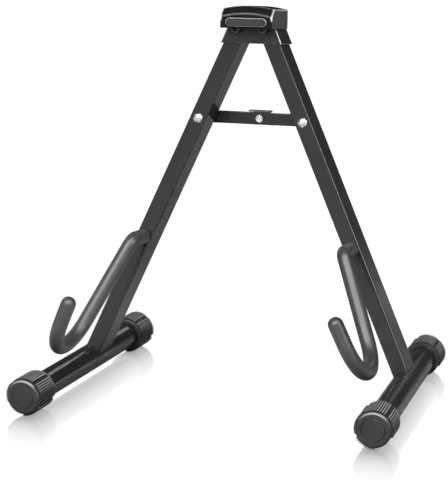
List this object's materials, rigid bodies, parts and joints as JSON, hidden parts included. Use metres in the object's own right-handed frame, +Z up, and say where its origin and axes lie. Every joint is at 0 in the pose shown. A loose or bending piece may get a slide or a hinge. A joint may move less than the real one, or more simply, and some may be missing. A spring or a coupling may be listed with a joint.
{
  "type": "folding guitar stand",
  "caption": "Folding A-frame floor stand for a guitar: splayed tube legs on ribbed foot tubes, two padded hooks, a hinge head with rubber rest and a folding brace.",
  "frame": {"origin": "on the floor, in the middle of the outline seen from above", "axes": "+Z up, -Y towards the front where the hooks are, +X to the right seen from the front"},
  "size_m": [0.3292, 0.2458, 0.3292],
  "materials": {
    "frame_black": "semi-gloss black powder coat",
    "sheet_black": "satin black paint on folded and flat sheet",
    "block_rubber": "matt moulded rubber",
    "badge_black": "fine-grained satin plastic",
    "cap_rubber": "matt ribbed rubber",
    "sleeve_grey": "satin soft foam-rubber sleeve, dark grey",
    "dark_steel": "blackened steel fasteners",
    "zinc_steel": "bright zinc-plated steel"
  },
  "bodies": {
    "head": {"hinge_bracket": "sheet_black", "head_block": "block_rubber", "head_badge": "badge_black", "pivot_bolts": "dark_steel", "pivot_nuts": "dark_steel", "block_screws": "zinc_steel"},
    "left_leg": {"left_leg_tube": "frame_black", "left_pivot_bush": "zinc_steel", "left_foot_tube": "frame_black", "left_front_cap": "cap_rubber", "left_rear_cap": "cap_rubber", "left_hook_rod": "dark_steel", "left_hook_sleeve": "sleeve_grey", "left_hook_washer": "zinc_steel", "left_hook_nut": "zinc_steel", "left_brace_rivet": "zinc_steel", "left_brace_spacer": "dark_steel"},
    "right_leg": {"right_leg_tube": "frame_black", "right_pivot_bush": "zinc_steel", "right_foot_tube": "frame_black", "right_front_cap": "cap_rubber", "right_rear_cap": "cap_rubber", "right_hook_rod": "dark_steel", "right_hook_sleeve": "sleeve_grey", "right_hook_washer": "zinc_steel", "right_hook_nut": "zinc_steel", "right_brace_rivet": "zinc_steel", "right_brace_washer": "dark_steel"},
    "left_arm": {"left_brace_arm": "sheet_black", "centre_rivet": "zinc_steel"},
    "right_arm": {"right_brace_arm": "sheet_black", "right_rivet_tail": "zinc_steel"}
  },
  "joints": [
    {"name": "left_leg_fold", "type": "hinge", "parent": "head", "child": "left_leg", "pos_m": [-0.012, 0.05056, 0.30791], "axis": [0, -0.9956, 0.0941], "range_deg": [0, 23]},
    {"name": "right_leg_fold", "type": "hinge", "parent": "head", "child": "right_leg", "pos_m": [0.012, 0.05056, 0.30791], "axis": [0, 0.9956, -0.0941], "range_deg": [0, 23]},
    {"name": "left_arm_fold", "type": "hinge", "parent": "left_leg", "child": "left_arm", "pos_m": [-0.04657, 0.04326, 0.2306], "axis": [0, -0.9956, 0.0941], "range_deg": [0, 50.22]},
    {"name": "brace_centre_fold", "type": "hinge", "parent": "left_arm", "child": "right_arm", "pos_m": [0, 0.04326, 0.2306], "axis": [0, 0.9956, -0.0941], "range_deg": [0, 146.44]}
  ],
  "couplings": [
    {"joint": "right_leg_fold", "follows": "left_leg_fold", "ratio": 1},
    {"joint": "left_arm_fold", "follows": "left_leg_fold", "ratio": 2.1814},
    {"joint": "brace_centre_fold", "follows": "left_leg_fold", "ratio": 6.3627}
  ]
}
